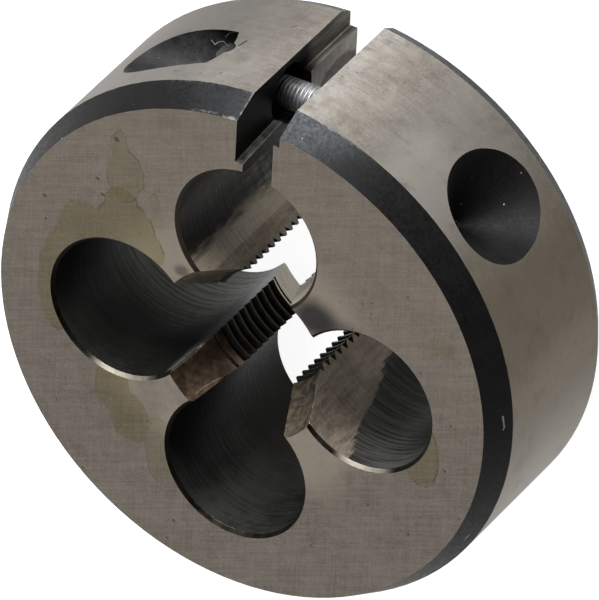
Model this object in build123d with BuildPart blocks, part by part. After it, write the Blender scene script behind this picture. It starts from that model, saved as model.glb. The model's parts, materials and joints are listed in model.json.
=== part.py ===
from build123d import *

import os
from math import cos, radians, sin, sqrt, tan

# Round threading die: a hardened steel disc with chip holes round a threaded middle,
# split through to its rim on one side, and the small screw that sets the split's width.
# All sizes are in millimetres.
#
# The middle of the back face is the origin and the die's axis is Z. The face that
# starts the cut looks up. The split is on the +Y side, and the screw lies along X.

# The disc
outer_diameter = 25.4
thickness = 9.525
front_chamfer_width = 0.65
front_chamfer_depth = 1.4
back_chamfer_width = 0.45
back_chamfer_depth = 0.8

# Chip holes, drilled through round the middle. The wall outside them and the lands
# between them set their size and place.
chip_hole_count = 4
rim_wall = 3.3
land_waist_width = 1.69
chip_hole_edge_break = 0.15

# Cutting thread on the lands. The first groove's height is that of the land next
# to the split, on its right.
thread_major_diameter = 6.0
thread_pitch = 0.5
thread_angle = 60.0
first_groove_height = 0.45
land_crest_width = 1.8

# Lead cones at both ends of the thread
front_lead_mouth_diameter = 8.4
front_lead_length = 2.75
back_lead_mouth_diameter = 7.86
back_lead_length = 2.5

# Split: a wide slot in from the rim, and a narrower slit from its floor on to the chip
# hole. Left and right are as seen from the front, with the split at the top. On the
# left the slot is deeper in front of the screw, and deepest at the front face.
slot_left = 0.72
slot_right = 1.4
slot_depth = 1.2
slit_left = 0.34
slit_right = 1.1
relief_front_depth = 2.8
relief_back_depth = 2.4

# Holes for the screw, on one line across the split. Left of it: a relieved mouth, the
# threaded hole, the screwdriver's hole, and a wider recess in the rim with a drill
# point's cone at its end. Right of it: the pocket whose bottom the screw pushes on.
# Each is given by its diameter and by how far from the middle plane it ends.
screw_axis_depth = 1.67
screw_axis_height = 5.2
mouth_diameter = 2.7
mouth_end = 1.4
threaded_hole_end = 3.0
driver_hole_diameter = 2.4
recess_distance = 4.0
recess_diameter = 3.4
drill_point_angle = 118.0
tip_pocket_end = 2.6

# The screw has no head: its outer end is slotted
screw_thread_diameter = 1.4
screw_end_stand_out = 0.1
screw_end_chamfer = 0.15
driver_slot_width = 0.3
driver_slot_depth = 0.45

# Clearances round the screw
screw_thread_clearance = 0.04
tip_pocket_clearance = 0.1
screw_tip_clearance = 0.02

# Cone-shaped seat in the rim for the holder's set screw
seat_turn = 47.0
seat_height = 4.5
seat_width = 5.62
seat_cone_angle = 90.0
seat_bottom_diameter = 0.4

# Sizes that follow from the ones above
rim_radius = outer_diameter / 2
half_step = radians(180 / chip_hole_count)
chip_hole_distance = (rim_radius - rim_wall + land_waist_width / 2) / (1 + sin(half_step))
chip_hole_radius = rim_radius - rim_wall - chip_hole_distance
root_radius = thread_major_diameter / 2
groove_root_width = thread_pitch / 8
groove_mouth_width = thread_pitch * 3 / 4
groove_depth = (groove_mouth_width - groove_root_width) / 2 / tan(radians(thread_angle / 2))
crest_radius = root_radius - groove_depth
groove_sweep = 180 / chip_hole_count
slot_floor_distance = rim_radius - slot_depth
screw_axis_distance = rim_radius - screw_axis_depth
mouth_radius = mouth_diameter / 2
threaded_hole_radius = screw_thread_diameter / 2 + screw_thread_clearance
driver_hole_radius = driver_hole_diameter / 2
recess_radius = recess_diameter / 2
drill_point_length = (recess_radius - driver_hole_radius) / tan(radians(drill_point_angle / 2))
tip_pocket_radius = screw_thread_diameter / 2 + tip_pocket_clearance
seat_depth = (seat_width - seat_bottom_diameter) / 2 / tan(radians(seat_cone_angle / 2))

# A cut runs this far past the surface that it opens
overrun = 1.0


def land_point(along, across):
    """A point given along and across the middle line of a land, in the axes of the
    chip hole beside it."""
    return (
        along * cos(half_step) + across * sin(half_step),
        along * sin(half_step) - across * cos(half_step),
    )


with BuildPart() as die_body:
    # Turned disc, with a chamfer at each end of the rim
    with BuildSketch(Plane.XZ):
        with BuildLine():
            Polyline(
                (0, 0),
                (rim_radius - back_chamfer_width, 0),
                (rim_radius, back_chamfer_depth),
                (rim_radius, thickness - front_chamfer_depth),
                (rim_radius - front_chamfer_width, thickness),
                (0, thickness),
                close=True,
            )
        make_face()
    revolve(axis=Axis.Z)

    # Chip holes, with their edges broken at both faces
    with BuildSketch(Plane.XY):
        with PolarLocations(chip_hole_distance, chip_hole_count):
            Circle(chip_hole_radius)
    extrude(amount=thickness, mode=Mode.SUBTRACT)
    hole_mouths = (
        die_body.edges()
        .filter_by(GeomType.CIRCLE)
        .filter_by(lambda edge: abs(edge.radius - chip_hole_radius) < chip_hole_edge_break / 2)
    )
    chamfer(hole_mouths, chip_hole_edge_break)

    # Middle bored to the thread's crests, with a lead cone at each end
    with BuildSketch(Plane.XZ):
        with BuildLine():
            Polyline(
                (0, 0),
                (back_lead_mouth_diameter / 2, 0),
                (crest_radius, back_lead_length),
                (crest_radius, thickness - front_lead_length),
                (front_lead_mouth_diameter / 2, thickness),
                (0, thickness),
                close=True,
            )
        make_face()
    revolve(axis=Axis.Z, mode=Mode.SUBTRACT)

    # Flat cutting faces: each chip hole opens to the middle between two of them. A face
    # starts where the hole is nearest the middle of the land, and ends at the crest.
    face_outer_corner = land_point(chip_hole_distance * cos(half_step), land_waist_width / 2)
    face_inner_corner = land_point(
        sqrt(crest_radius**2 - (land_crest_width / 2) ** 2),
        land_crest_width / 2,
    )
    with BuildSketch(Plane.XY):
        with PolarLocations(0, chip_hole_count):
            Polygon(
                (0, 0),
                face_inner_corner,
                face_outer_corner,
                (face_outer_corner[0], -face_outer_corner[1]),
                (face_inner_corner[0], -face_inner_corner[1]),
                align=None,
            )
    extrude(amount=thickness, mode=Mode.SUBTRACT)

    # Cutting teeth: grooves one pitch apart across the crest of each land. From land to
    # land round the die they climb by an equal share of the pitch, as a thread does.
    groove_outline = (
        (0, -groove_root_width / 2),
        (0, groove_root_width / 2),
        (-groove_depth, groove_mouth_width / 2),
        (-groove_depth, -groove_mouth_width / 2),
    )
    for land in range(chip_hole_count):
        first_height = first_groove_height + thread_pitch * land / chip_hole_count
        groove_count = int((thickness - first_height) / thread_pitch)
        groove_places = [
            (root_radius, first_height + groove * thread_pitch)
            for groove in range(groove_count)
        ]
        sweep_start = radians((land + 0.5) * 360 / chip_hole_count - groove_sweep / 2)
        groove_plane = Plane(
            origin=(0, 0, 0),
            x_dir=(cos(sweep_start), sin(sweep_start), 0),
            z_dir=(sin(sweep_start), -cos(sweep_start), 0),
        )
        with BuildSketch(groove_plane):
            with Locations(*groove_places):
                Polygon(*groove_outline, align=None)
        revolve(axis=Axis.Z, revolution_arc=groove_sweep, mode=Mode.SUBTRACT)

    # The split, seen from the front: slot and slit
    with BuildSketch(Plane.XY):
        with BuildLine():
            Polyline(
                (-slit_left, chip_hole_distance),
                (-slit_left, slot_floor_distance),
                (-slot_left, slot_floor_distance),
                (-slot_left, rim_radius + overrun),
                (slot_right, rim_radius + overrun),
                (slot_right, slot_floor_distance),
                (slit_right, slot_floor_distance),
                (slit_right, chip_hole_distance),
                close=True,
            )
        make_face()
    extrude(amount=thickness, mode=Mode.SUBTRACT)

    # Deeper floor at the slot's left, from the front face to the screw
    with BuildSketch(Plane.YZ.offset(-slot_left)):
        with BuildLine():
            Polyline(
                (slot_floor_distance, screw_axis_height),
                (rim_radius - relief_back_depth, screw_axis_height),
                (rim_radius - relief_front_depth, thickness),
                (slot_floor_distance, thickness),
                close=True,
            )
        make_face()
    extrude(amount=slot_left, mode=Mode.SUBTRACT)

    # Holes for the screw, turned about its axis in one stepped outline
    screw_middle = (0, screw_axis_distance, screw_axis_height)
    with BuildSketch(Plane(origin=screw_middle, x_dir=(1, 0, 0), z_dir=(0, 0, 1))):
        with BuildLine():
            Polyline(
                (tip_pocket_end, 0),
                (tip_pocket_end, tip_pocket_radius),
                (0, tip_pocket_radius),
                (0, mouth_radius),
                (-mouth_end, mouth_radius),
                (-mouth_end, threaded_hole_radius),
                (-threaded_hole_end, threaded_hole_radius),
                (-threaded_hole_end, driver_hole_radius),
                (-recess_distance + drill_point_length, driver_hole_radius),
                (-recess_distance, recess_radius),
                (-rim_radius, recess_radius),
                (-rim_radius, 0),
                close=True,
            )
        make_face()
    revolve(axis=Axis(screw_middle, (1, 0, 0)), mode=Mode.SUBTRACT)

    # Seat for the holder's set screw
    seat_direction = (sin(radians(seat_turn)), cos(radians(seat_turn)), 0)
    seat_bottom = Plane(
        origin=(
            (rim_radius - seat_depth) * seat_direction[0],
            (rim_radius - seat_depth) * seat_direction[1],
            seat_height,
        ),
        z_dir=seat_direction,
    )
    with BuildSketch(seat_bottom):
        Circle(seat_bottom_diameter / 2)
    extrude(
        amount=seat_depth + overrun,
        taper=-seat_cone_angle / 2,
        mode=Mode.SUBTRACT,
    )

# The screw is turned about its own axis, with a slot across its outer end
with BuildPart() as adjusting_screw:
    screw_end = -(threaded_hole_end + screw_end_stand_out)
    screw_tip = tip_pocket_end - screw_tip_clearance
    screw_radius = screw_thread_diameter / 2
    with BuildSketch(Plane(origin=screw_middle, x_dir=(1, 0, 0), z_dir=(0, 0, 1))):
        with BuildLine():
            Polyline(
                (screw_end, 0),
                (screw_end, screw_radius - screw_end_chamfer),
                (screw_end + screw_end_chamfer, screw_radius),
                (screw_tip - screw_end_chamfer, screw_radius),
                (screw_tip, screw_radius - screw_end_chamfer),
                (screw_tip, 0),
                close=True,
            )
        make_face()
    revolve(axis=Axis(screw_middle, (1, 0, 0)))
    with BuildSketch(
        Plane(origin=(screw_end, screw_axis_distance, screw_axis_height), z_dir=(1, 0, 0))
    ):
        Rectangle(driver_slot_width, screw_thread_diameter)
    extrude(amount=driver_slot_depth, mode=Mode.SUBTRACT)

die_body.part.label = "die_body"
adjusting_screw.part.label = "adjusting_screw"

os.makedirs("parts", exist_ok=True)
export_step(die_body.part, "parts/die_body.step")
export_step(adjusting_screw.part, "parts/adjusting_screw.step")
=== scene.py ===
import json
from math import cos, degrees, hypot, pi, radians, sin

import bmesh
import bpy
from mathutils import Matrix, Vector


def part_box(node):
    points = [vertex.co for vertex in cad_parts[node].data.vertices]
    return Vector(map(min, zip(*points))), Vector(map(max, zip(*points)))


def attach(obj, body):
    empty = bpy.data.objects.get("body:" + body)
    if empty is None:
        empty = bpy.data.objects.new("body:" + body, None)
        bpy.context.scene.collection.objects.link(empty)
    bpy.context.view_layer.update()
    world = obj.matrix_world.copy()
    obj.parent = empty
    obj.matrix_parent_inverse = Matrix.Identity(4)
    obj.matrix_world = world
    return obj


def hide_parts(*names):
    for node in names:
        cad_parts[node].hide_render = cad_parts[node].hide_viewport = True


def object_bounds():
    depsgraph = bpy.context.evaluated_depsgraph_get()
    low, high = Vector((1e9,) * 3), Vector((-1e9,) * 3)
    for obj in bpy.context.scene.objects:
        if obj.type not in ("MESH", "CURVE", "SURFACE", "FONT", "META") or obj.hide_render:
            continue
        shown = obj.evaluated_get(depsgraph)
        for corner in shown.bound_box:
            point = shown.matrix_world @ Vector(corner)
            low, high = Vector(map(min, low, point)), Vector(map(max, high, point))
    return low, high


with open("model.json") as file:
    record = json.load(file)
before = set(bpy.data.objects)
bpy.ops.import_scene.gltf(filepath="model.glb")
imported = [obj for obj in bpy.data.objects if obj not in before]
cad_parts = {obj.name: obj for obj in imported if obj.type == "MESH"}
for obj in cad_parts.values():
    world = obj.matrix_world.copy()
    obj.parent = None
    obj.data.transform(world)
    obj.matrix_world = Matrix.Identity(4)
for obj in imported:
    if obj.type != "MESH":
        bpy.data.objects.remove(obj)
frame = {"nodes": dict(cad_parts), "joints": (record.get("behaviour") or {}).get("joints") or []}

cad_low, cad_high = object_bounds()

# The studio
# The die lies on its back face on a plain white floor. The camera looks down on it from
# the side of the split, rolled as the photograph shows it, with a long lens.
MM = 0.001
CAMERA_PLACE = Vector((0.248966, 0.374078, 0.456274))
CAMERA_RIGHT = Vector((0.859913, 0.042017, -0.508709))
CAMERA_UP = Vector((-0.328491, 0.808366, -0.488508))
CAMERA_LENS = 886.05
CAMERA_SEES_FROM = 0.01
LAMPS = (
    # name, direction from the die, distance, size, power, colour
    ("lamp_over_split", (-0.17, 0.96, 0.25), 0.5, (0.3, 0.2), 13.0, (1.0, 0.995, 0.99)),
    ("lamp_low_front", (-0.5, -0.8, 0.3), 0.6, (0.5, 0.3), 1.1, (1.0, 0.98, 0.95)),
)
FLOOR_SIZE = 6.0
FLOOR_GLOW = 0.92
FLOOR_PAINT = 0.30

camera = bpy.data.objects.new("camera", bpy.data.cameras.new("camera"))
bpy.context.scene.collection.objects.link(camera)
camera_back = CAMERA_RIGHT.cross(CAMERA_UP)
camera.matrix_world = Matrix.Translation(CAMERA_PLACE) @ Matrix(
    (CAMERA_RIGHT, CAMERA_UP, camera_back)
).transposed().to_4x4()
camera.data.lens = CAMERA_LENS
camera.data.clip_start = CAMERA_SEES_FROM
bpy.context.scene.camera = camera
bpy.context.scene.view_settings.view_transform = "Standard"

# Two soft lamps that face the die
for name, direction, distance, size, power, colour in LAMPS:
    lamp = bpy.data.objects.new(name, bpy.data.lights.new(name, "AREA"))
    bpy.context.scene.collection.objects.link(lamp)
    lamp.data.shape = "RECTANGLE"
    lamp.data.size, lamp.data.size_y = size
    lamp.data.energy = power
    lamp.data.color = colour
    lamp.location = Vector(direction).normalized() * distance
    lamp.rotation_euler = (-lamp.location).to_track_quat("-Z", "Y").to_euler()


def feed(tree, socket, value):
    """Joins a socket to another node's output, or sets it to a plain value."""
    if isinstance(value, bpy.types.NodeSocket):
        tree.links.new(value, socket)
    else:
        socket.default_value = value


def put(tree, kind, sockets=None, **settings):
    """A new shader node of this kind, with its settings and sockets filled in."""
    made = tree.nodes.new("ShaderNode" + kind)
    for name, value in settings.items():
        setattr(made, name, value)
    for name, value in (sockets or {}).items():
        feed(tree, made.inputs[name], value)
    return made


def maths(tree, operation, *values):
    """The output of a Math node on these values."""
    made = put(tree, "Math", operation=operation)
    for socket, value in zip(made.inputs, values):
        feed(tree, socket, value)
    return made.outputs[0]


def vector_maths(tree, operation, *values):
    """The output of a Vector Math node on these values."""
    made = put(tree, "VectorMath", operation=operation)
    places = made.inputs if operation != "SCALE" else (made.inputs[0], made.inputs["Scale"])
    for socket, value in zip(places, values):
        feed(tree, socket, value)
    single = operation in ("LENGTH", "DISTANCE", "DOT_PRODUCT")
    return made.outputs["Value" if single else "Vector"]


def fade(tree, value, zero_at, one_at):
    """A smooth step from 0 where the value is zero_at to 1 where it is one_at."""
    made = put(tree, "MapRange", interpolation_type="SMOOTHSTEP")
    for name, number in {"Value": value, "From Min": zero_at, "From Max": one_at}.items():
        feed(tree, made.inputs[name], number)
    return made.outputs[0]


# White tent all round, but for its dark opening on the side of the camera
TENT_OPENING = (0.74, 0.62, 0.27)
TENT_OPENING_EDGE = (0.95, 0.3)
TENT_WALL_LIGHT = 0.6
TENT_OPENING_LIGHT = 0.12
TENT_COLOUR = (1, 0.99, 0.975, 1)
world = bpy.data.worlds.new("studio")
bpy.context.scene.world = world
world.use_nodes = True
tree = world.node_tree
tree.nodes.clear()
direction = put(tree, "TexCoord").outputs["Generated"]
towards = vector_maths(tree, "DOT_PRODUCT", direction, TENT_OPENING)
on_wall = fade(tree, towards, *TENT_OPENING_EDGE)
tent = maths(tree, "MULTIPLY_ADD", on_wall, TENT_WALL_LIGHT, TENT_OPENING_LIGHT)
sky = put(tree, "Background", {"Color": TENT_COLOUR, "Strength": tent})
put(tree, "OutputWorld", {"Surface": sky.outputs[0]})

# White floor: its glow is for the camera and for reflections, and it keeps the shadow
floor_mesh = bpy.data.meshes.new("floor")
half = FLOOR_SIZE / 2
floor_mesh.from_pydata(
    [(-half, -half, 0), (half, -half, 0), (half, half, 0), (-half, half, 0)], [], [(0, 1, 2, 3)]
)
floor = bpy.data.objects.new("floor", floor_mesh)
bpy.context.scene.collection.objects.link(floor)
floor_paint = bpy.data.materials.new("floor_paint")
floor_paint.use_nodes = True
tree = floor_paint.node_tree
tree.nodes.clear()
path = put(tree, "LightPath")
seen = maths(tree, "ADD", path.outputs["Is Camera Ray"], path.outputs["Is Glossy Ray"])
seen = maths(tree, "ADD", seen, path.outputs["Is Transmission Ray"])
strength = maths(tree, "MULTIPLY", seen, FLOOR_GLOW)
glow = put(tree, "Emission", {"Color": (1, 1, 1, 1), "Strength": strength})
white = put(tree, "BsdfDiffuse", {"Color": (FLOOR_PAINT, FLOOR_PAINT, FLOOR_PAINT, 1)})
lit = put(tree, "AddShader")
feed(tree, lit.inputs[0], glow.outputs[0])
feed(tree, lit.inputs[1], white.outputs[0])
put(tree, "OutputMaterial", {"Surface": lit.outputs[0]})
floor_mesh.materials.append(floor_paint)

# The die body
# One disc of tool steel, turned, drilled, threaded and split, hardened black all over,
# and then ground bright on its faces, its rim, the slit and the cutting faces. It wears
# the frame's own solid, sorted face by face into the finishes of its surfaces.
RIM_RADIUS = cad_high.x / MM
THICKNESS = cad_high.z / MM
RIM_WALL = 3.3
LAND_WAIST = 1.69
CHIP_HOLE_DISTANCE = (RIM_RADIUS - RIM_WALL + LAND_WAIST / 2) / (1 + sin(pi / 4))
CHIP_HOLE_RADIUS = RIM_RADIUS - RIM_WALL - CHIP_HOLE_DISTANCE
CHIP_HOLE_CENTRES = [
    Vector((cos(hole * pi / 2), sin(hole * pi / 2))) * CHIP_HOLE_DISTANCE for hole in range(4)
]
EDGE_BREAK_REACH = 0.2
CHAMFER_REACH = 0.8
FRONT_CHAMFER_DEPTH = 1.45
BACK_CHAMFER_DEPTH = 0.85
THREAD_ROOT_RADIUS = 3.0
LEAD_CONE_RADIUS = 4.3
SLOT_LEFT, SLOT_RIGHT = -0.72, 1.4
SLIT_LEFT, SLIT_RIGHT = -0.34, 1.1
SLOT_MARGIN = 0.02
SLOT_START = 9.0
DEEPER_FLOOR_BELOW = 10.6
SCREW_AXIS = Vector(frame["joints"][0]["pos_m"]) / MM
RECESS_RADIUS = 1.7
SEAT_AXIS = Vector((sin(radians(47)), cos(radians(47)), 0))
SEAT_HEIGHT = 4.5
SEAT_RADIUS = 2.85
SEAT_START = 9.5
EDGE_WEAR = 0.03
WORN_EDGES_FROM = 3.2
SHARP_FROM = radians(24)
FLAT_ENOUGH = radians(0.6)
SAME_POINT = 0.0005

# How far, at most, a facet's middle lies off the flat or round surface it belongs to
OFF_FLAT = 0.01
OFF_ROUND = 0.05
# How much of a normal lies along an axis: at least so much where it points that way,
# and at most so much where the surface runs along the axis
POINTING = 0.99
MOSTLY = 0.9
ALONGSIDE = 0.1


def finish_of(place, normal):
    """The name of the finish on the surface at this place, in mm, facing this way."""
    radius = hypot(place.x, place.y)
    outward = (normal.x * place.x + normal.y * place.y) / radius
    upright = abs(normal.z) < ALONGSIDE
    if abs(normal.z) > POINTING and min(place.z, THICKNESS - place.z) < OFF_FLAT:
        return "ground_face"
    if outward > MOSTLY and radius > RIM_RADIUS - OFF_ROUND and upright:
        return "ground_rim"
    near_face = place.z > THICKNESS - FRONT_CHAMFER_DEPTH or place.z < BACK_CHAMFER_DEPTH
    leaning_out = outward > 0.3 and not upright
    if leaning_out and radius > RIM_RADIUS - CHAMFER_REACH and near_face:
        return "black_chamfer"
    along_seat = place.x * SEAT_AXIS.x + place.y * SEAT_AXIS.y
    off_seat = hypot(place.x - along_seat * SEAT_AXIS.x, place.y - along_seat * SEAT_AXIS.y)
    if along_seat > SEAT_START and hypot(off_seat, place.z - SEAT_HEIGHT) < SEAT_RADIUS:
        return "black_seat"
    in_slot = SLOT_LEFT - SLOT_MARGIN < place.x < SLOT_RIGHT + SLOT_MARGIN
    if radius > SLOT_START and in_slot and place.y > 0:
        off_slit = min(abs(place.x - SLIT_LEFT), abs(place.x - SLIT_RIGHT))
        if abs(normal.x) > POINTING and off_slit < OFF_FLAT:
            return "slit_wall"
        if normal.y > MOSTLY and place.y < DEEPER_FLOOR_BELOW:
            return "deeper_floor"
        return "black_slot"
    off_screw = hypot(place.y - SCREW_AXIS.y, place.z - SCREW_AXIS.z)
    if off_screw < RECESS_RADIUS + OFF_ROUND and place.y > SLOT_START:
        return "black_recess"
    off_hole = min((place.xy - centre).length for centre in CHIP_HOLE_CENTRES) - CHIP_HOLE_RADIUS
    if abs(off_hole) < OFF_ROUND and upright:
        return "drilled_wall"
    if 0 < off_hole < EDGE_BREAK_REACH and 0.5 < abs(normal.z) < MOSTLY:
        return "broken_edge"
    if radius < LEAD_CONE_RADIUS and 0.3 < abs(normal.z) < 0.6 and outward < -0.5:
        if place.x < 0 and place.y < 0:
            return "brown_lead_cone" if normal.z > 0 else "pale_lead_cone"
        return "grey_lead_cone"
    on_tooth = abs(normal.z) > 0.6 or outward < -MOSTLY
    if radius < THREAD_ROOT_RADIUS + OFF_ROUND and on_tooth:
        return "cutting_thread"
    return "drilled_wall"


def noise(tree, place, fineness, detail=2.0, roughness=0.55):
    """The grey value of a noise whose features are about 1 / fineness mm wide."""
    return put(
        tree,
        "TexNoise",
        {"Vector": place, "Scale": fineness, "Detail": detail, "Roughness": roughness},
    ).outputs[0]


def paint(*channels):
    """A colour written as it shows on a screen, from 0 to 255, for a shader socket."""
    shown = [channel / 255 for channel in channels]
    linear = [((c + 0.055) / 1.055) ** 2.4 if c > 0.0393 else c / 12.92 for c in shown]
    return (*linear, 1)


def blend(tree, amount, first, second, blending="MIX"):
    """The first colour where the amount is 0, and the second, or both, where it is 1."""
    made = put(tree, "Mix", data_type="RGBA", blend_type=blending)
    feed(tree, made.inputs[0], amount)
    feed(tree, made.inputs[6], first)
    feed(tree, made.inputs[7], second)
    return made.outputs[2]


def shared(name, inputs, outputs):
    """A new node group with these sockets: its tree, what comes in, and what goes out."""
    tree = bpy.data.node_groups.new(name, "ShaderNodeTree")
    for direction, sockets in (("INPUT", inputs), ("OUTPUT", outputs)):
        for socket, kind in sockets.items():
            tree.interface.new_socket(socket, in_out=direction, socket_type="NodeSocket" + kind)
    return (
        tree,
        tree.nodes.new("NodeGroupInput").outputs,
        tree.nodes.new("NodeGroupOutput").inputs,
    )


# Fine lines that a grinding wheel or a drill leaves: long one way and narrow the other
LINE_CONTRAST = (0.33, 0.67)
fine_lines, given, result = shared(
    "fine_lines", {"Place": "Vector", "Turn": "Float", "Stretch": "Vector"}, {"Lines": "Float"}
)
turned = put(
    fine_lines,
    "VectorRotate",
    {"Vector": given["Place"], "Angle": given["Turn"]},
    rotation_type="Z_AXIS",
)
stretched = vector_maths(fine_lines, "MULTIPLY", turned.outputs[0], given["Stretch"])
lines = noise(fine_lines, stretched, 1.0, 3.0, 0.6)
feed(fine_lines, result["Lines"], fade(fine_lines, lines, *LINE_CONTRAST))

# Cloudy change of tone that handling, oil and scale leave
MOTTLING_CONTRAST = (0.3, 0.7)
mottling, given, result = shared(
    "mottling", {"Place": "Vector", "Fineness": "Float"}, {"Mottling": "Float"}
)
clouds = noise(mottling, given["Place"], given["Fineness"], 4.0, 0.6)
feed(mottling, result["Mottling"], fade(mottling, clouds, *MOTTLING_CONTRAST))

# Small ragged spots: pits, specks and nicks
SPOT_EDGE_FINENESS = 9.0
SPOT_EDGE_RAGGED = 1.6
SPOT_LEAST_WIDTH = 0.2
SPOT_EDGE = (0.6, 0.3)
spots, given, result = shared(
    "spots",
    {"Place": "Vector", "Spacing": "Float", "Width": "Float", "Share": "Float"},
    {"Spots": "Float"},
)
ragged = put(
    spots, "TexNoise", {"Vector": given["Place"], "Scale": SPOT_EDGE_FINENESS, "Detail": 1.0}
)
ragged = vector_maths(spots, "SUBTRACT", ragged.outputs[1], (0.5, 0.5, 0.5))
unsteady = maths(spots, "MULTIPLY", given["Width"], SPOT_EDGE_RAGGED)
ragged = vector_maths(spots, "SCALE", ragged, unsteady)
cells = put(
    spots,
    "TexVoronoi",
    {
        "Vector": vector_maths(spots, "ADD", given["Place"], ragged),
        "Scale": maths(spots, "DIVIDE", 1.0, given["Spacing"]),
    },
)
chance = put(spots, "SeparateColor", {"Color": cells.outputs["Color"]}).outputs
away = maths(spots, "MULTIPLY", cells.outputs["Distance"], given["Spacing"])
reach = maths(spots, "ADD", SPOT_LEAST_WIDTH, chance[1])
reach = maths(spots, "MULTIPLY", given["Width"], reach)
chosen = maths(spots, "LESS_THAN", chance[0], given["Share"])
outer, inner = (maths(spots, "MULTIPLY", reach, part) for part in SPOT_EDGE)
spot = fade(spots, away, outer, inner)
feed(spots, result["Spots"], maths(spots, "MULTIPLY", spot, chosen))

# How far out a place is in an oval patch with an unsteady edge: 1 at the edge
PATCH_EDGE_NOISES = ((0.7, 1.0), (2.2, 0.3))
patch, given, result = shared(
    "patch",
    {"Place": "Vector", "Centre": "Vector", "Turn": "Float", "Size": "Vector", "Ragged": "Float"},
    {"Reach": "Float"},
)
unsteady = given["Place"]
for fineness, share in PATCH_EDGE_NOISES:
    drift = put(patch, "TexNoise", {"Vector": given["Place"], "Scale": fineness}).outputs[1]
    drift = vector_maths(patch, "SUBTRACT", drift, (0.5, 0.5, 0.5))
    drift = vector_maths(patch, "SCALE", drift, maths(patch, "MULTIPLY", given["Ragged"], share))
    unsteady = vector_maths(patch, "ADD", unsteady, drift)
beside = vector_maths(patch, "SUBTRACT", unsteady, given["Centre"])
beside = put(
    patch, "VectorRotate", {"Vector": beside, "Angle": given["Turn"]}, rotation_type="Z_AXIS"
)
beside = vector_maths(patch, "DIVIDE", beside.outputs[0], given["Size"])
feed(patch, result["Reach"], vector_maths(patch, "LENGTH", beside))

# A ragged line between two places, as a scratch or a burr leaves
SCRATCH_EDGE_FINENESS = 6.0
SCRATCH_WIDTH_CHANGE = (1.4, 0.3)
SCRATCH_EDGE = (1.2, 0.7)
scratch, given, result = shared(
    "scratch",
    {"Place": "Vector", "From": "Vector", "To": "Vector", "Width": "Float"},
    {"Scratch": "Float"},
)
along = vector_maths(scratch, "SUBTRACT", given["To"], given["From"])
beside = vector_maths(scratch, "SUBTRACT", given["Place"], given["From"])
share = maths(
    scratch,
    "DIVIDE",
    vector_maths(scratch, "DOT_PRODUCT", beside, along),
    vector_maths(scratch, "DOT_PRODUCT", along, along),
)
share = put(scratch, "Clamp", {"Value": share}).outputs[0]
away = vector_maths(scratch, "DISTANCE", beside, vector_maths(scratch, "SCALE", along, share))
uneven = noise(scratch, given["Place"], SCRATCH_EDGE_FINENESS)
uneven = maths(scratch, "MULTIPLY_ADD", uneven, *SCRATCH_WIDTH_CHANGE)
half = maths(scratch, "MULTIPLY", given["Width"], maths(scratch, "MULTIPLY", uneven, 0.5))
away = maths(scratch, "DIVIDE", away, half)
feed(scratch, result["Scratch"], fade(scratch, away, *SCRATCH_EDGE))

SHINE_TURN = 0.25
ENDLESS = 1e3
PATCH_JOIN = 0.25


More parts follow.
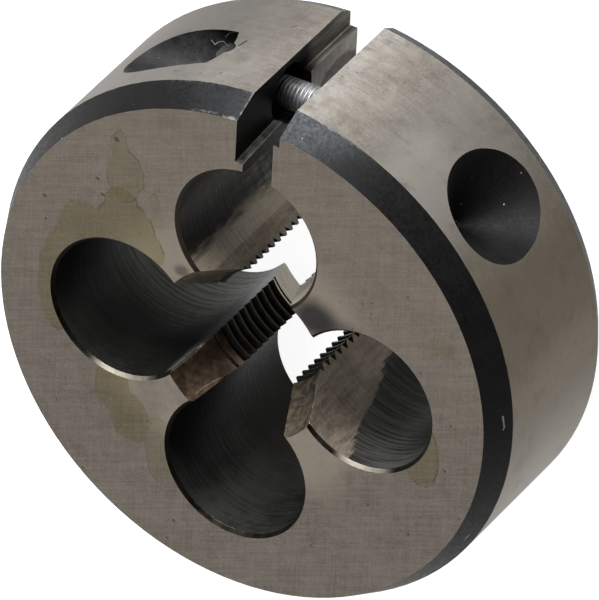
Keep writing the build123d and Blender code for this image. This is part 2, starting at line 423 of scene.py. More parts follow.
class Finish:
    """A steel finish: its material, its shader, and the places on it in mm."""

    def __init__(self, name, metallic, specular=0.5, anisotropic=0.0):
        self.material = bpy.data.materials.new(name)
        self.material.use_nodes = True
        self.tree = self.material.node_tree
        self.shader = self.tree.nodes["Principled BSDF"]
        self.shader.inputs["Metallic"].default_value = metallic
        self.shader.inputs["Specular IOR Level"].default_value = specular
        self.shader.inputs["Anisotropic"].default_value = anisotropic
        self.shader.inputs["Anisotropic Rotation"].default_value = SHINE_TURN
        coordinates = put(self.tree, "TexCoord")
        self.place = vector_maths(self.tree, "SCALE", coordinates.outputs["Object"], 1 / MM)
        self.x, self.y, self.z = put(self.tree, "SeparateXYZ", {"Vector": self.place}).outputs
        flat = vector_maths(self.tree, "MULTIPLY", self.place, (1, 1, 0))
        self.radius = vector_maths(self.tree, "LENGTH", flat)

    def use(self, group, output, **sockets):
        """An output of a shared group, placed in this material with its own values."""
        sockets = {name.capitalize(): value for name, value in sockets.items()}
        made = put(self.tree, "Group", {"Place": self.place, **sockets}, node_tree=group)
        return made.outputs[output]

    def mottled(self, fineness):
        return self.use(mottling, "Mottling", fineness=fineness)

    def do(self, operation, *values):
        return maths(self.tree, operation, *values)

    def fade(self, value, zero_at, one_at):
        return fade(self.tree, value, zero_at, one_at)

    def noise(self, *fineness_and_detail):
        return noise(self.tree, self.place, *fineness_and_detail)

    def all_of(self, first, *masks):
        """The product of masks: 1 only where each of them is 1."""
        for mask in masks:
            first = self.do("MULTIPLY", first, mask)
        return first

    def add_up(self, *shares):
        """The sum of masks, each with its own weight."""
        whole = 0.0
        for mask, weight in shares:
            whole = self.do("MULTIPLY_ADD", mask, weight, whole)
        return whole

    def distance(self, value, place):
        """How far a value is from this one, on either side."""
        return self.do("ABSOLUTE", self.do("SUBTRACT", value, place))

    def between(self, tone, dark, light):
        """The dark colour where the tone is 0, and the light one where it is 1."""
        return blend(self.tree, tone, paint(*dark), paint(*light))

    def lay(self, colour, amount, mask, over):
        """This colour, with another over it by the amount where the mask is 1."""
        return blend(self.tree, self.do("MULTIPLY", mask, amount), colour, paint(*over))

    def patches(self, ragged, *ovals):
        """How far out a place is in patches that run together: 1 at their edge."""
        whole = None
        for centre, size, turn in ovals:
            reach = self.use(
                patch,
                "Reach",
                centre=(*centre, 0)[:3],
                turn=-radians(turn),
                size=(*size, ENDLESS)[:3],
                ragged=ragged,
            )
            whole = reach if whole is None else self.do("SMOOTH_MIN", whole, reach, PATCH_JOIN)
        return whole

    def scratches(self, width, *places):
        """A line of scratches from place to place."""
        whole = 0.0
        for start, end in zip(places, places[1:]):
            line = {"From": start, "To": end, "Width": width, "Place": self.place}
            made = put(self.tree, "Group", line, node_tree=scratch).outputs[0]
            whole = self.do("MAXIMUM", whole, made)
        return whole

    def show(self, colour):
        """Joins the colour to the shader."""
        feed(self.tree, self.shader.inputs["Base Color"], colour)

    def wear(self, colour, roughness, height, depth):
        """Joins the colour, the roughness and a height in mm to the shader."""
        self.show(colour)
        feed(self.tree, self.shader.inputs["Roughness"], roughness)
        bump = put(self.tree, "Bump", {"Height": height, "Distance": depth * MM})
        feed(self.tree, self.shader.inputs["Normal"], bump.outputs[0])


# Left, right, top and bottom are as seen from the front, with the split at the top
FINISHES = {}

# Ground faces: satin, with crossed lines, dried oil and small dark pits
FACE_DARK, FACE_LIGHT = (80, 74, 68), (121, 114, 106)
FACE_CLOUDS = (106, 97, 90)
FACE_BY_SPLIT = (150, 140, 128)
FACE_BY_BORE = (136, 128, 117)
FACE_LINES_ACROSS = (0.45, 10.0, 1.0)
FACE_LINES_DOWN = (9.0, 0.45, 1.0)
FACE_LINE_TURN = radians(-22.5)
OIL = (236, 234, 206)
OIL_EDGE = (66, 54, 28)
OIL_EDGE_AT = 0.99
OIL_EDGE_WIDTH = 0.06
OIL_FILM_EDGE = (1.04, 0.9)
STAINS = (
    # ragged, how strong inside and at the edge, and patches: centre, size, turn
    (0.7, 0.7, 0.5, ((-6.1, 7.0), (1.3, 0.9), 80), ((-6.4, 8.3), (0.9, 0.4), 80)),
    (
        0.9, 1.1, 0.55,
        ((-7.9, 3.1), (1.5, 1.7), 0), ((-5.9, 3.9), (1.5, 1.9), 0), ((-9.1, 0.4), (1.1, 2.6), 0),
        ((-6.3, 5.6), (0.7, 0.8), 0), ((-4.7, 3.6), (0.7, 1.0), 0),
    ),
    (0.5, 0.6, 0.5, ((-4.55, 5.9), (0.75, 0.3), 95), ((-4.35, 5.3), (0.4, 0.3), 0)),
    (0.8, 1.2, 0.3, ((-6.3, -4.3), (0.9, 1.3), 0), ((-5.4, -5.5), (1.0, 1.2), 0)),
    (0.7, 0.6, 0.3, ((-3.8, -6.6), (0.8, 1.7), 8)),
    (0.3, 1.0, 0.8, ((9.05, -1.5), (0.85, 1.7), 6)),
    (1.0, 0.5, 0.0, ((9.6, 4.3), (0.9, 0.5), 0)),
)
SMUDGE = (42, 42, 42)
SMUDGE_EDGE = (1.25, 0.35)
SMUDGES = (
    # ragged, how strong, and the patch: centre, size, turn
    (0.3, 0.95, ((3.5, 3.4), (1.35, 1.15), 0)),
    (0.4, 0.55, ((4.6, 3.2), (1.2, 0.7), 20)),
    (0.3, 0.6, ((-3.06, 3.2), (0.42, 0.36), 0)),
)
FACE_PIT = (50, 43, 35)
PIT_BOTTOM = 0.4
FACE_PITS = (
    # x, y, how wide
    (10.28, -1.93, 0.13), (-7.4, 6.39, 0.14), (-7.12, 5.66, 0.13), (-9.99, 4.46, 0.15),
    (-9.89, 3.28, 0.1), (-6.54, 8.78, 0.2), (5.84, 5.12, 0.08), (6.32, 5.32, 0.07),
    (6.3, 4.79, 0.07), (8.86, 2.69, 0.08), (-2.87, -10.05, 0.12),
)
PIT_DEPTH = 0.01
LINES_TO_PITS = 0.1
face = Finish("ground_face", 1.0)
across = face.use(fine_lines, "Lines", turn=FACE_LINE_TURN, stretch=FACE_LINES_ACROSS)
down = face.use(fine_lines, "Lines", turn=0.0, stretch=FACE_LINES_DOWN)
clouds, blotches, grain = (face.mottled(fineness) for fineness in (0.45, 1.7, 12.0))
tone = face.add_up((across, 0.22), (down, 0.15), (clouds, 0.12), (blotches, 0.16), (grain, 0.35))
colour = face.between(tone, FACE_DARK, FACE_LIGHT)
colour = face.lay(colour, 0.2, clouds, FACE_CLOUDS)
colour = face.lay(colour, 0.14, face.fade(face.y, -5.0, 9.0), FACE_BY_SPLIT)
near_bore = face.all_of(face.fade(face.radius, 8.0, 5.6), face.fade(clouds, -0.5, 0.6))
colour = face.lay(colour, 0.75, near_bore, FACE_BY_BORE)
front = face.do("GREATER_THAN", face.z, THICKNESS / 2)
broken = face.fade(face.noise(0.9), 0.4, 0.58)
oily = face.do("MULTIPLY_ADD", blotches, 0.5, 0.6)
for ragged, fill, outline, *ovals in STAINS:
    reach = face.patches(ragged, *ovals)
    film = face.all_of(face.fade(reach, *OIL_FILM_EDGE), front, fill, oily)
    colour = blend(face.tree, film, colour, paint(*OIL), "MULTIPLY")
    edge = face.fade(face.distance(reach, OIL_EDGE_AT), OIL_EDGE_WIDTH, 0.0)
    colour = face.lay(colour, outline, face.all_of(edge, broken, front), OIL_EDGE)
for ragged, strong, oval in SMUDGES:
    inside = face.fade(face.patches(ragged, oval), *SMUDGE_EDGE)
    colour = face.lay(colour, strong, face.all_of(inside, front), SMUDGE)
pits = face.use(spots, "Spots", spacing=0.65, width=0.15, share=0.4)
for x, y, width in FACE_PITS:
    away = vector_maths(face.tree, "DISTANCE", face.place, (x, y, THICKNESS))
    pits = face.do("MAXIMUM", pits, face.fade(away, width, width * PIT_BOTTOM))
colour = face.lay(colour, 0.6, pits, FACE_PIT)
height = face.do("SUBTRACT", face.do("MULTIPLY", across, LINES_TO_PITS), pits)
face.wear(colour, face.do("MULTIPLY_ADD", tone, 0.12, 0.38), height, PIT_DEPTH)
FINISHES["ground_face"] = face.material

# Ground rim: lines run round it, so its shine spreads up and down
RIM_WARM = ((80, 73, 63), (106, 98, 86))
RIM_NEUTRAL = ((80, 76, 71), (102, 98, 93))
RIM_GRAZING_SHEEN = (124, 119, 110)
RIM_PAINTED_SHEEN = (124, 121, 115)
RIM_SMUDGE_AND_SHADE = (60, 53, 44)
RIM_PAINTED_GLOW = (126, 125, 124)
RIM_SMEAR = (130, 129, 125)
RIM_SMEAR_ENDS = ((-3.44, 12.22, 5.6), (-3.38, 12.24, 5.0))
RIM_MARK = (34, 31, 28)
RIM_MARKS = (
    # how dark, how wide, from, to
    (0.7, 0.07, (-1.98, 12.54, 2.88), (-1.82, 12.57, 2.65)),
    (0.3, 0.07, (-1.41, 12.62, 5.92), (-0.95, 12.66, 5.86)),
    (0.9, 0.11, (-3.36, 12.25, 4.95), (-3.26, 12.27, 4.5)),
    (0.6, 0.08, (-5.1, 11.63, 7.38), (-5.06, 11.65, 7.3)),
    (0.6, 0.08, (-3.78, 12.12, 7.53), (-3.74, 12.13, 7.45)),
    (0.6, 0.08, (-2.9, 12.36, 7.31), (-2.87, 12.37, 7.25)),
)
RIM_PIT = (50, 44, 38)
RIM_LINES = (0.5, 9.0, 1.0)
rim = Finish("ground_rim", 1.0, anisotropic=0.6)
around = rim.do("MULTIPLY", rim.do("ARCTAN2", rim.y, rim.x), RIM_RADIUS)
unrolled = put(rim.tree, "CombineXYZ", {"X": around, "Y": rim.z}).outputs[0]
rings = rim.use(fine_lines, "Lines", place=unrolled, turn=0.0, stretch=RIM_LINES)
clouds, blotches, grain = (rim.mottled(fineness) for fineness in (0.45, 1.8, 9.0))
tone = rim.add_up((rings, 0.2), (clouds, 0.25), (blotches, 0.15), (grain, 0.35))
warm, neutral = rim.between(tone, *RIM_WARM), rim.between(tone, *RIM_NEUTRAL)
# The tone turns neutral towards the split, a painted tint of the lamp's highlight there, and stays
# warm elsewhere
colour = blend(rim.tree, rim.fade(rim.y, 6.0, 11.0), warm, neutral)
# Painted sheen: the rim lighter on its far side, where it is seen at a grazing angle
colour = rim.lay(colour, 0.75, rim.fade(rim.y, 0.5, -4.5), RIM_GRAZING_SHEEN)
right = rim.do("GREATER_THAN", rim.x, 0.0)
# Painted sheen: paler patches on the rim right of the split, more on its upper part, and beside
# the recess, where the lamp's shine spreads
higher = rim.do("MULTIPLY_ADD", rim.fade(rim.z, 3.0, 6.0), 0.5, 0.5)
sheen_by_seat = rim.all_of(rim.fade(rim.y, 11.9, 11.0), rim.fade(rim.y, 7.5, 10.0))
colour = rim.lay(colour, 0.75, rim.all_of(sheen_by_seat, right, higher), RIM_PAINTED_SHEEN)
sheen_by_recess = rim.all_of(
    rim.fade(rim.x, -1.0, -3.0), rim.fade(rim.z, 4.5, 6.5), rim.fade(rim.y, 8.0, 10.5)
)
colour = rim.lay(colour, 0.4, sheen_by_recess, RIM_PAINTED_SHEEN)
# Painted shade: the rim browner and darker past the seat, where the lamp's light falls off
shade_past_seat = rim.all_of(rim.fade(rim.y, 7.5, 6.0), rim.fade(rim.y, 1.5, 3.5))
colour = rim.lay(colour, 0.38, shade_past_seat, RIM_SMUDGE_AND_SHADE)
# Painted highlight: wisps of glow on the rim just right of the split
wandering = rim.do("MULTIPLY_ADD", blotches, 0.8, rim.x)
wisps = rim.do("MULTIPLY_ADD", rim.mottled(1.3), 1.3, -0.1)
painted_glint = rim.all_of(rim.fade(wandering, 3.6, 1.7), rim.fade(rim.y, 12.0, 12.3), right, wisps)
colour = rim.lay(colour, 0.36, painted_glint, RIM_PAINTED_GLOW)
# Brown smudges at random, in the same colour
smudged = rim.fade(rim.noise(0.7, 4.0, 0.65), 0.52, 0.72)
colour = rim.lay(colour, 0.32, smudged, RIM_SMUDGE_AND_SHADE)
colour = rim.lay(colour, 0.25, rim.scratches(0.3, *RIM_SMEAR_ENDS), RIM_SMEAR)
for dark, width, *ends in RIM_MARKS:
    colour = rim.lay(colour, dark, rim.scratches(width, *ends), RIM_MARK)
pits = rim.use(spots, "Spots", spacing=0.9, width=0.13, share=0.3)
colour = rim.lay(colour, 0.5, pits, RIM_PIT)
height = rim.do("SUBTRACT", rim.do("MULTIPLY", rings, LINES_TO_PITS), pits)
rim.wear(colour, rim.do("MULTIPLY_ADD", tone, 0.12, 0.4), height, PIT_DEPTH)
tangent = put(rim.tree, "Tangent", direction_type="RADIAL", axis="Z")
feed(rim.tree, rim.shader.inputs["Tangent"], tangent.outputs[0])
FINISHES["ground_rim"] = rim.material

NICK = (125, 125, 127)
SCALE_DEPTH = 0.002
GRAIN_FINER = 7


def blackened(name, dark, light, fineness, specks, roughness):
    """A black hardened surface, cloudy, with bright specks where it was struck."""
    made = Finish(name, 0.2, specular=0.06)
    clouds, grain = made.mottled(fineness), made.mottled(fineness * GRAIN_FINER)
    colour = made.between(made.add_up((clouds, 0.6), (grain, 0.4)), dark, light)
    nicks = made.use(spots, "Spots", spacing=0.55, width=0.09, share=specks)
    colour = made.lay(colour, 0.6, nicks, NICK)
    made.wear(colour, made.do("MULTIPLY_ADD", grain, 0.14, roughness), grain, SCALE_DEPTH)
    FINISHES[name] = made.material
    return made, colour


# Black chamfers: greyer round the split, where their corners catch the light in a thin
# line, and with a few bright ticks
CHAMFER_WORN = (34, 36, 39)
CHAMFER_NICKED = (100, 99, 97)
CHAMFER_NICKED_RADII = (RIM_RADIUS - 0.06, RIM_RADIUS - 0.01)
CHAMFER_LINE = (98, 97, 95)
CHAMFER_LINE_RADII = (RIM_RADIUS - 0.57, RIM_RADIUS - 0.63)
CHAMFER_LINE_MIDDLE = -1.2
CHAMFER_TICK = (130, 130, 128)
CHAMFER_TICKS = (
    ((12.41, 1.27, 8.59), (12.47, 0.75, 8.55)),
    ((12.45, 0.75, 8.5), (12.48, 0.6, 8.6)),
    ((11.2, -5.3, 8.6), (11.0, -5.9, 8.7)),
)
chamfer, colour = blackened("black_chamfer", (3, 3, 3), (11, 11, 11), 0.8, 0.3, 0.4)
near_split = chamfer.fade(chamfer.y, 11.35, 12.35)
mottled = chamfer.do("MULTIPLY_ADD", chamfer.mottled(6.0), 0.8, 0.25)
more_right = chamfer.do("MULTIPLY_ADD", chamfer.fade(chamfer.x, -2.0, 1.0), 0.7, 0.3)
colour = chamfer.lay(colour, 1.0, chamfer.all_of(near_split, mottled, more_right), CHAMFER_WORN)
outer = chamfer.fade(chamfer.radius, *CHAMFER_NICKED_RADII)
nicked = chamfer.all_of(outer, chamfer.fade(chamfer.noise(8.0), 0.5, 0.7), near_split)
colour = chamfer.lay(colour, 0.35, nicked, CHAMFER_NICKED)
inner = chamfer.fade(chamfer.radius, *CHAMFER_LINE_RADII)
corner = chamfer.fade(chamfer.distance(chamfer.x, SLOT_LEFT), 0.1, 0.05)
bright_line = chamfer.all_of(
    chamfer.do("MAXIMUM", inner, corner),
    chamfer.fade(chamfer.distance(chamfer.x, CHAMFER_LINE_MIDDLE), 2.2, 0.6),
    chamfer.fade(chamfer.noise(3.0), 0.35, 0.65),
    chamfer.do("GREATER_THAN", chamfer.y, 0.0),
)
colour = chamfer.lay(colour, 0.5, bright_line, CHAMFER_LINE)
for ends in CHAMFER_TICKS:
    colour = chamfer.lay(colour, 0.7, chamfer.scratches(0.08, *ends), CHAMFER_TICK)
chamfer.show(colour)

# Black recess in the rim, with painted shade darkening its outer end, and thin bright
# squiggles near the screwdriver's hole
RECESS_PAINTED_SHADE = (10, 10, 11)
RECESS_SMEAR = (84, 84, 82)
RECESS_SMEAR_PLACES = ((-5.06, 10.33, 3.65), (-4.8, 10.73, 3.53), (-4.51, 10.93, 3.5))
RECESS_SQUIGGLE = (125, 125, 123)
RECESS_SQUIGGLES = (
    (
        (-5.53, 10.85, 3.51), (-5.33, 10.71, 3.53), (-5.17, 10.89, 3.51), (-4.93, 11.01, 3.5),
        (-4.79, 10.91, 3.5), (-4.64, 10.9, 3.5),
    ),
    ((-4.84, 11.28, 3.52), (-4.65, 11.58, 3.59), (-4.31, 11.87, 3.72)),
)
recess, colour = blackened("black_recess", (11, 10, 9), (36, 36, 37), 1.8, 0.6, 0.48)
# Painted shade: the recess darkest at its outer end
shaded_end = recess.all_of(recess.fade(recess.x, -5.6, -7.6), recess.fade(recess.y, 10.6, 9.8))
colour = recess.lay(colour, 0.65, shaded_end, RECESS_PAINTED_SHADE)
colour = recess.lay(colour, 0.35, recess.scratches(0.3, *RECESS_SMEAR_PLACES), RECESS_SMEAR)
# Thin bright squiggles near the screwdriver's hole
for places in RECESS_SQUIGGLES:
    colour = recess.lay(colour, 0.6, recess.scratches(0.04, *places), RECESS_SQUIGGLE)
recess.show(colour)

# Black seat for the holder's set screw
blackened("black_seat", (6, 5, 4), (13, 13, 14), 0.9, 0.7, 0.54)

# Black slot, greyer behind the screw, where the cutter's lines show through the scale
SLOT_THIN_SCALE = (122, 119, 110)
SLOT_THIN_HEIGHTS = (SCREW_AXIS.z - 1.4, SCREW_AXIS.z - 2.4)
SLOT_LINES = (3.0, 3.0, 0.4)
slot, colour = blackened("black_slot", (4, 3, 2), (11, 9, 6), 1.2, 0.1, 0.45)
tool_lines = slot.use(fine_lines, "Lines", turn=0.0, stretch=SLOT_LINES)
thin_scale = slot.all_of(
    slot.fade(slot.z, *SLOT_THIN_HEIGHTS),
    slot.do("MULTIPLY_ADD", slot.fade(slot.x, -0.6, -0.7), 0.7, 0.3),
    slot.do("MULTIPLY_ADD", tool_lines, 0.6, 0.3),
)
slot.show(slot.lay(colour, 0.95, thin_scale, SLOT_THIN_SCALE))

# Chip hole walls: black, with the drill's rings. The wheel that ground the cutting faces
# ran out on to them, but not at the bottom left land, where both walls stayed dull and
# one edge is rubbed.
WALL_BLACK = ((15, 15, 14), (42, 42, 40))
WALL_LEFT_END = (15, 15, 13)
WALL_RIGHT_RINGS = (72, 72, 70)
WALL_LEFT_ARCS = (86, 87, 82)
WALL_BOTTOM = (12, 11, 8)
WALL_TOP_STREAKS = (18, 14, 9)
WALL_GROUND = ((78, 69, 60), (122, 113, 101))
WALL_GROUND_TOP = (142, 134, 121)
WALL_LEFT_FLANK = ((52, 53, 53), (108, 109, 109))
WALL_BOTTOM_FLANK = ((11, 11, 8), (27, 26, 23))
WALL_RINGS = (0.3, 0.3, 6.5)
WALL_STREAKS = (4.0, 4.0, 0.8)
WALL_STREAK_TURN = radians(30)
LINE_DEPTH = 0.003
HOLES_START = 3.2
QUARTER = radians(90)
# How far round a hole the wheel ran, in degrees: further in the top hole. In the right one
# the bright part also reaches further with each mm above a height: painted light, whose
# edge stands for the shadow of the hole's front rim. Its end is ragged and soft.
WHEEL_RUN_OUT = 46.5
WHEEL_FURTHER_AT_TOP = 5.0
LIT_FURTHER_EACH_MM = 5.3
LIT_FURTHER_ABOVE = 2.85
WHEEL_RAGGED = 5.0
WHEEL_SOFT = 6.5
WHEEL_SOFT_RIGHT = 1.5
RUBBED = (104, 102, 97)
RUBBED_EDGE = ((-3.5, -2.35, 9.5), (-3.16, -2.04, 8.72), (-2.9, -1.7, 7.93), (-2.68, -1.42, 7.31))
wall = Finish("drilled_wall", 0.75, specular=0.12)
angle = wall.do("ARCTAN2", wall.y, wall.x)
nearest = wall.do("MULTIPLY", wall.do("ROUND", wall.do("DIVIDE", angle, QUARTER)), QUARTER)
angle = wall.do("SUBTRACT", angle, nearest)
inward = wall.do("MULTIPLY", wall.radius, wall.do("COSINE", angle))
inward = wall.do("SUBTRACT", CHIP_HOLE_DISTANCE, inward)
sideways = wall.do("MULTIPLY", wall.radius, wall.do("SINE", angle))
round_hole = wall.do("MULTIPLY", wall.do("ARCTAN2", sideways, inward), degrees(1))
right_hole = wall.do("GREATER_THAN", wall.x, HOLES_START)
top_hole = wall.do("GREATER_THAN", wall.y, HOLES_START)
left_side = wall.do("LESS_THAN", wall.x, wall.y)
# Painted light: in the right hole the lit part of the wall runs further round nearer the front
# face
lit_turn = wall.all_of(
    wall.do("SUBTRACT", wall.z, LIT_FURTHER_ABOVE),
    LIT_FURTHER_EACH_MM,
    right_hole,
    wall.do("LESS_THAN", sideways, 0.0),
)
ground_and_lit_to = wall.do("MULTIPLY_ADD", top_hole, WHEEL_FURTHER_AT_TOP, WHEEL_RUN_OUT)
ground_and_lit_to = wall.do("ADD", ground_and_lit_to, lit_turn)
rings = wall.use(fine_lines, "Lines", turn=0.0, stretch=WALL_RINGS)
streaks = wall.use(fine_lines, "Lines", turn=WALL_STREAK_TURN, stretch=WALL_STREAKS)
ragged = wall.do("MULTIPLY", wall.do("SUBTRACT", streaks, 0.5), WHEEL_RAGGED)
past = wall.do("SUBTRACT", wall.do("ADD", wall.do("ABSOLUTE", round_hole), ragged), ground_and_lit_to)
soft = wall.do("MULTIPLY_ADD", right_hole, WHEEL_SOFT_RIGHT - WHEEL_SOFT, WHEEL_SOFT)
ground_and_lit = wall.fade(wall.do("DIVIDE", past, soft), 1.0, -1.0)
clouds, grain = wall.mottled(0.7), wall.mottled(5.0)
black = wall.between(wall.add_up((rings, 0.4), (clouds, 0.6)), *WALL_BLACK)
black = wall.lay(black, 0.6, wall.fade(wall.x, -2.0, -4.5), WALL_LEFT_END)
black = wall.lay(black, 0.85, wall.all_of(right_hole, rings), WALL_RIGHT_RINGS)
arcs = wall.all_of(
    wall.fade(wall.x, -1.5, -2.5),
    wall.fade(wall.z, 6.0, 0.5),
    left_side,
    wall.do("MULTIPLY_ADD", rings, 0.85, 0.3),
)
black = wall.lay(black, 0.95, arcs, WALL_LEFT_ARCS)
bottom_hole = wall.all_of(
    wall.fade(wall.y, -1.5, -3.0), wall.fade(wall.z, 7.0, 2.0), wall.do("SUBTRACT", 1.0, left_side)
)
black = wall.lay(black, 0.85, bottom_hole, WALL_BOTTOM)
black = wall.lay(black, 0.85, wall.all_of(top_hole, streaks), WALL_TOP_STREAKS)
tone = wall.add_up((streaks, 0.4), (grain, 0.3), (clouds, 0.3))
bright = wall.lay(wall.between(tone, *WALL_GROUND), 0.45, top_hole, WALL_GROUND_TOP)
flanks = (wall.between(tone, *pair) for pair in (WALL_LEFT_FLANK, WALL_BOTTOM_FLANK))
lower = wall.fade(wall.do("SUBTRACT", wall.x, wall.y), -0.2, 0.2)
dull = blend(wall.tree, lower, *flanks)
unground = wall.all_of(wall.fade(wall.x, 0.6, -0.6), wall.fade(wall.y, 0.6, -0.6))
colour = blend(wall.tree, ground_and_lit, black, blend(wall.tree, unground, bright, dull))
colour = wall.lay(colour, 0.55, wall.scratches(0.16, *RUBBED_EDGE), RUBBED)
wall.wear(colour, wall.do("MULTIPLY_ADD", grain, 0.12, 0.36), rings, LINE_DEPTH)
FINISHES["drilled_wall"] = wall.material


def bright_steel(name, dark, light, stretch, roughness):
    """A bright steel surface with fine lines and a mottled tone."""
    made = Finish(name, 1.0)
    lines = made.use(fine_lines, "Lines", turn=0.0, stretch=stretch)
    clouds = made.mottled(3.0)
    colour = made.between(made.add_up((lines, 0.5), (clouds, 0.5)), dark, light)
    made.wear(colour, made.do("MULTIPLY_ADD", clouds, 0.12, roughness), lines, LINE_DEPTH)
    FINISHES[name] = made.material
    return made, colour


# Edge break of the chip holes: dark, but lighter at the top hole, with painted highlights
# at the bottom of the left and right holes, where the edge catches the light
RING_PAINTED_GLINT = (108, 103, 95)
RING_GLINT_PLACES = (((6.3, -3.2), (1.4, 0.65), 0), ((-5.7, -3.2), (1.6, 0.6), 0))
RING_TOP = (70, 65, 57)
ring, colour = bright_steel("broken_edge", (11, 10, 8), (28, 26, 22), (1.2, 1.2, 0.5), 0.4)
painted_glint = ring.fade(ring.patches(0.3, *RING_GLINT_PLACES), 1.2, 0.6)
colour = ring.lay(colour, 0.75, painted_glint, RING_PAINTED_GLINT)
ring.show(ring.lay(colour, 0.6, ring.fade(ring.y, 3.0, 4.0), RING_TOP))

# Slit: ground, with a rust-brown patch behind the screw, and painted shadow that makes
# it black in front of the screw
RUST = (46, 29, 27)
RUST_PATCH = ((-0.34, 10.15, 1.5), (1.0, 0.65, 1.5), 0)
SLIT_PAINTED_SHADOW = (12, 11, 9)
SLIT_SHADOW_HEIGHTS = (SCREW_AXIS.z - 1.3, SCREW_AXIS.z - 1.0)
slit, colour = bright_steel("slit_wall", (74, 71, 65), (118, 114, 106), (0.6, 1.0, 3.0), 0.4)
rusty = slit.fade(slit.patches(0.6, RUST_PATCH), 1.15, 0.85)
colour = slit.lay(colour, 0.95, rusty, RUST)
# Painted shadow: the slit wall black in front of the screw
shadow_in_front = slit.fade(slit.z, *SLIT_SHADOW_HEIGHTS)
slit.show(slit.lay(colour, 0.97, shadow_in_front, SLIT_PAINTED_SHADOW))

# Deeper floor of the slot, grey where the tool left the scale thin
FLOOR_EDGES = (112, 110, 104)
deeper, colour = bright_steel("deeper_floor", (30, 29, 27), (84, 83, 79), (3.0, 0.7, 0.7), 0.42)
off_middle = deeper.distance(deeper.x, (SLOT_LEFT + SLIT_LEFT) / 2)
deeper.show(deeper.lay(colour, 0.6, deeper.fade(off_middle, 0.1, 0.18), FLOOR_EDGES))

# Lead cones: brown with heat at the front of the bottom left land, pale at its back, and
# grey on the other lands
CONE_RUBBED = (110, 108, 103)
CONE_LOWER_EDGE = (112, 109, 102)
CONE_LOWER_EDGE_PLACES = ((-2.45, -3.45, 9.5), (-2.21, -3.1, 8.8), (-1.68, -2.81, 7.78))
CONE_LEFT_HIGHLIGHT = (168, 160, 142)
cone, colour = bright_steel("brown_lead_cone", (46, 38, 31), (68, 57, 46), (2.0, 2.0, 5.0), 0.42)
colour = cone.lay(colour, 0.5, cone.scratches(0.16, *RUBBED_EDGE), CONE_RUBBED)
lower_edge = cone.scratches(0.05, *CONE_LOWER_EDGE_PLACES)
cone.show(cone.lay(colour, 0.4, lower_edge, CONE_LOWER_EDGE))
bright_steel("pale_lead_cone", (104, 97, 84), (150, 142, 126), (1.0, 1.0, 7.0), 0.36)
cone, colour = bright_steel("grey_lead_cone", (96, 88, 76), (126, 118, 104), (0.8, 0.8, 6.0), 0.36)
# Painted highlight: the grey cone paler on the top left land, where its edge catches the light
cone.show(cone.lay(colour, 0.6, cone.fade(cone.x, 0.5, -0.5), CONE_LEFT_HIGHLIGHT))

# Cutting teeth, dark with oil and scale
bright_steel("cutting_thread", (17, 16, 13), (46, 44, 39), (1.0, 1.0, 9.0), 0.38)

# Worn edges, bright where they were struck, and least at the chip holes
EDGE_STRUCK = (172, 168, 161)
worn_edge, colour = bright_steel("worn_edge", (28, 26, 24), (74, 71, 67), (2.0, 2.0, 2.0), 0.3)
at_holes = worn_edge.all_of(
    worn_edge.fade(worn_edge.radius, 11.0, 9.5), worn_edge.fade(worn_edge.radius, 4.4, 4.7)
)
struck = worn_edge.all_of(
    worn_edge.fade(worn_edge.noise(1.3), 0.48, 0.62),
    worn_edge.do("MULTIPLY_ADD", at_holes, -0.85, 1.0),
)
worn_edge.show(worn_edge.lay(colour, 0.8, struck, EDGE_STRUCK))

# The frame's solid, with each facet in its own finish, and its outer edges rounded
finish_numbers = {name: number for number, name in enumerate(FINISHES)}
solid = bmesh.new()
solid.from_mesh(frame["nodes"]["die_body"].data)
bmesh.ops.remove_doubles(solid, verts=solid.verts, dist=SAME_POINT * MM)
for facet in solid.faces:
    facet.material_index = finish_numbers[finish_of(facet.calc_center_median() / MM, facet.normal)]
bmesh.ops.dissolve_limit(
    solid,
    angle_limit=FLAT_ENOUGH,
    verts=solid.verts,
    edges=solid.edges,
    delimit={"MATERIAL"},
)
bevel_weights = solid.edges.layers.float.new("bevel_weight_edge")
for edge in solid.edges:
    outside = all(hypot(end.co.x, end.co.y) > WORN_EDGES_FROM * MM for end in edge.verts)
    if outside and len(edge.link_faces) == 2 and edge.calc_face_angle() > SHARP_FROM:
        edge[bevel_weights] = 1.0
die_mesh = bpy.data.meshes.new("threading_die")
solid.to_mesh(die_mesh)
solid.free()
if "custom_normal" in die_mesh.attributes:
    die_mesh.attributes.remove(die_mesh.attributes["custom_normal"])
for finish in FINISHES.values():
    die_mesh.materials.append(finish)
die_mesh.shade_smooth()
die_mesh.set_sharp_from_angle(angle=SHARP_FROM)
die = bpy.data.objects.new("threading_die", die_mesh)
bpy.context.scene.collection.objects.link(die)
rounding = die.modifiers.new("worn_edges", "BEVEL")
rounding.limit_method = "WEIGHT"
rounding.width = EDGE_WEAR * MM
rounding.segments = 1
rounding.material = finish_numbers["worn_edge"]
rounding.use_clamp_overlap = True
rounding.harden_normals = False
weighing = die.modifiers.new("flat_faces_stay_flat", "WEIGHTED_NORMAL")
weighing.keep_sharp = True
weighing.weight = 80
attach(die, "die")
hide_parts("die_body")

# The adjusting screw
# A small headless steel screw, bright from its thread rolling, with a slot across its
# outer end. It turns in the threaded hole left of the split.
screw_low, screw_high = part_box("adjusting_screw")
SCREW_RADIUS = (screw_high.z - screw_low.z) / 2 / MM
SCREW_PITCH = 0.2
SCREW_THREAD_DEPTH = 0.06
SCREW_FLANK_RISE = 2.6
SCREW_END_CHAMFER = 0.15
SCREW_STEPS_ROUND = 48
SCREW_STEPS_A_PITCH = 8
SCREW_SHARP_FROM = radians(40)
DRIVER_SLOT_WIDTH = 0.3
DRIVER_SLOT_DEPTH = 0.45
SCREW_SHADED = (20, 18, 15)

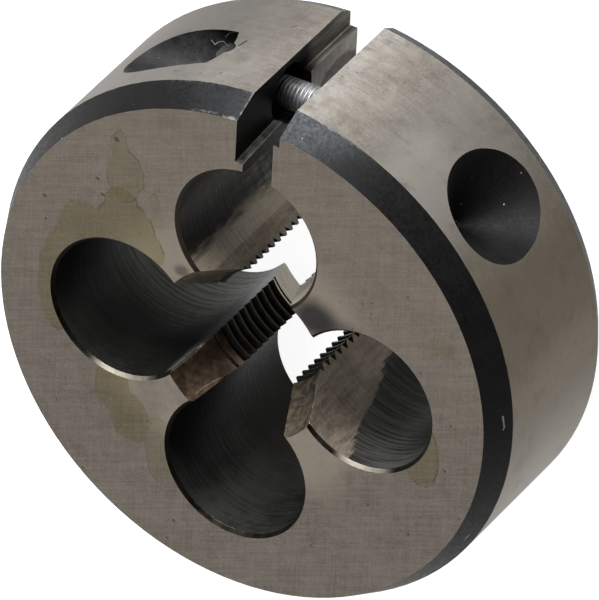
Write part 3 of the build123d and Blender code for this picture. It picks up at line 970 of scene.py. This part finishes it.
start, end = screw_low.x / MM, screw_high.x / MM
rings = int((end - start) / SCREW_PITCH * SCREW_STEPS_A_PITCH)
points, faces = [], []
for ring in range(rings + 1):
    along = start + (end - start) * ring / rings
    limit = SCREW_RADIUS - SCREW_END_CHAMFER + min(along - start, end - along, SCREW_END_CHAMFER)
    for step in range(SCREW_STEPS_ROUND):
        turn = step / SCREW_STEPS_ROUND
        phase = (along / SCREW_PITCH + turn) % 1
        crest = min(1, SCREW_FLANK_RISE * abs(phase - 0.5))
        radius = min(limit, SCREW_RADIUS - SCREW_THREAD_DEPTH * (1 - crest))
        points.append(
            (
                along * MM,
                (SCREW_AXIS.y + radius * cos(turn * 2 * pi)) * MM,
                (SCREW_AXIS.z + radius * sin(turn * 2 * pi)) * MM,
            )
        )
for ring in range(rings):
    for step in range(SCREW_STEPS_ROUND):
        here = ring * SCREW_STEPS_ROUND + step
        beside = ring * SCREW_STEPS_ROUND + (step + 1) % SCREW_STEPS_ROUND
        faces.append((here, here + SCREW_STEPS_ROUND, beside + SCREW_STEPS_ROUND, beside))
faces.append(tuple(range(SCREW_STEPS_ROUND)))
last = rings * SCREW_STEPS_ROUND
faces.append(tuple(last + step for step in reversed(range(SCREW_STEPS_ROUND))))
whole_mesh = bpy.data.meshes.new("whole_screw")
whole_mesh.from_pydata(points, [], faces)
whole = bpy.data.objects.new("whole_screw", whole_mesh)

# The slot for the screwdriver is cut out of the outer end
cutter_mesh = bpy.data.meshes.new("slot_cutter")
cutter_shape = bmesh.new()
bmesh.ops.create_cube(
    cutter_shape,
    size=MM,
    matrix=Matrix.Translation((screw_low.x, SCREW_AXIS.y * MM, SCREW_AXIS.z * MM))
    @ Matrix.Diagonal((2 * DRIVER_SLOT_DEPTH, DRIVER_SLOT_WIDTH, 3 * SCREW_RADIUS, 1)),
)
cutter_shape.to_mesh(cutter_mesh)
cutter_shape.free()
cutter = bpy.data.objects.new("slot_cutter", cutter_mesh)
for piece in (whole, cutter):
    bpy.context.scene.collection.objects.link(piece)
cutting = whole.modifiers.new("driver_slot", "BOOLEAN")
cutting.operation = "DIFFERENCE"
cutting.solver = "EXACT"
cutting.object = cutter
slotted = whole.evaluated_get(bpy.context.evaluated_depsgraph_get())
screw_mesh = bpy.data.meshes.new_from_object(slotted)
screw_mesh.name = "threaded_screw"
for piece in (whole, cutter):
    bpy.data.objects.remove(piece)

# The cut can leave two faces back to back, and both of them go
cut = bmesh.new()
cut.from_mesh(screw_mesh)
bmesh.ops.triangulate(cut, faces=cut.faces)
alike = {}
for facet in cut.faces:
    corners = frozenset(tuple(round(value / MM, 5) for value in end.co) for end in facet.verts)
    alike.setdefault(corners, []).append(facet)
doubled = [facet for group in alike.values() if len(group) > 1 for facet in group]
bmesh.ops.delete(cut, geom=doubled, context="FACES")
cut.to_mesh(screw_mesh)
cut.free()

# Bright steel, with painted shade darkening it towards its threaded hole
bolt, colour = bright_steel("bright_screw", (90, 91, 92), (134, 135, 136), (6.0, 1.0, 1.0), 0.5)
bolt.show(bolt.lay(colour, 0.85, bolt.fade(bolt.x, 0.6, -0.5), SCREW_SHADED))
screw_mesh.materials.clear()
screw_mesh.materials.append(FINISHES["bright_screw"])
screw = bpy.data.objects.new("threaded_screw", screw_mesh)
bpy.context.scene.collection.objects.link(screw)
screw_mesh.shade_smooth()
screw_mesh.set_sharp_from_angle(angle=SCREW_SHARP_FROM)
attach(screw, "screw")
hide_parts("adjusting_screw")
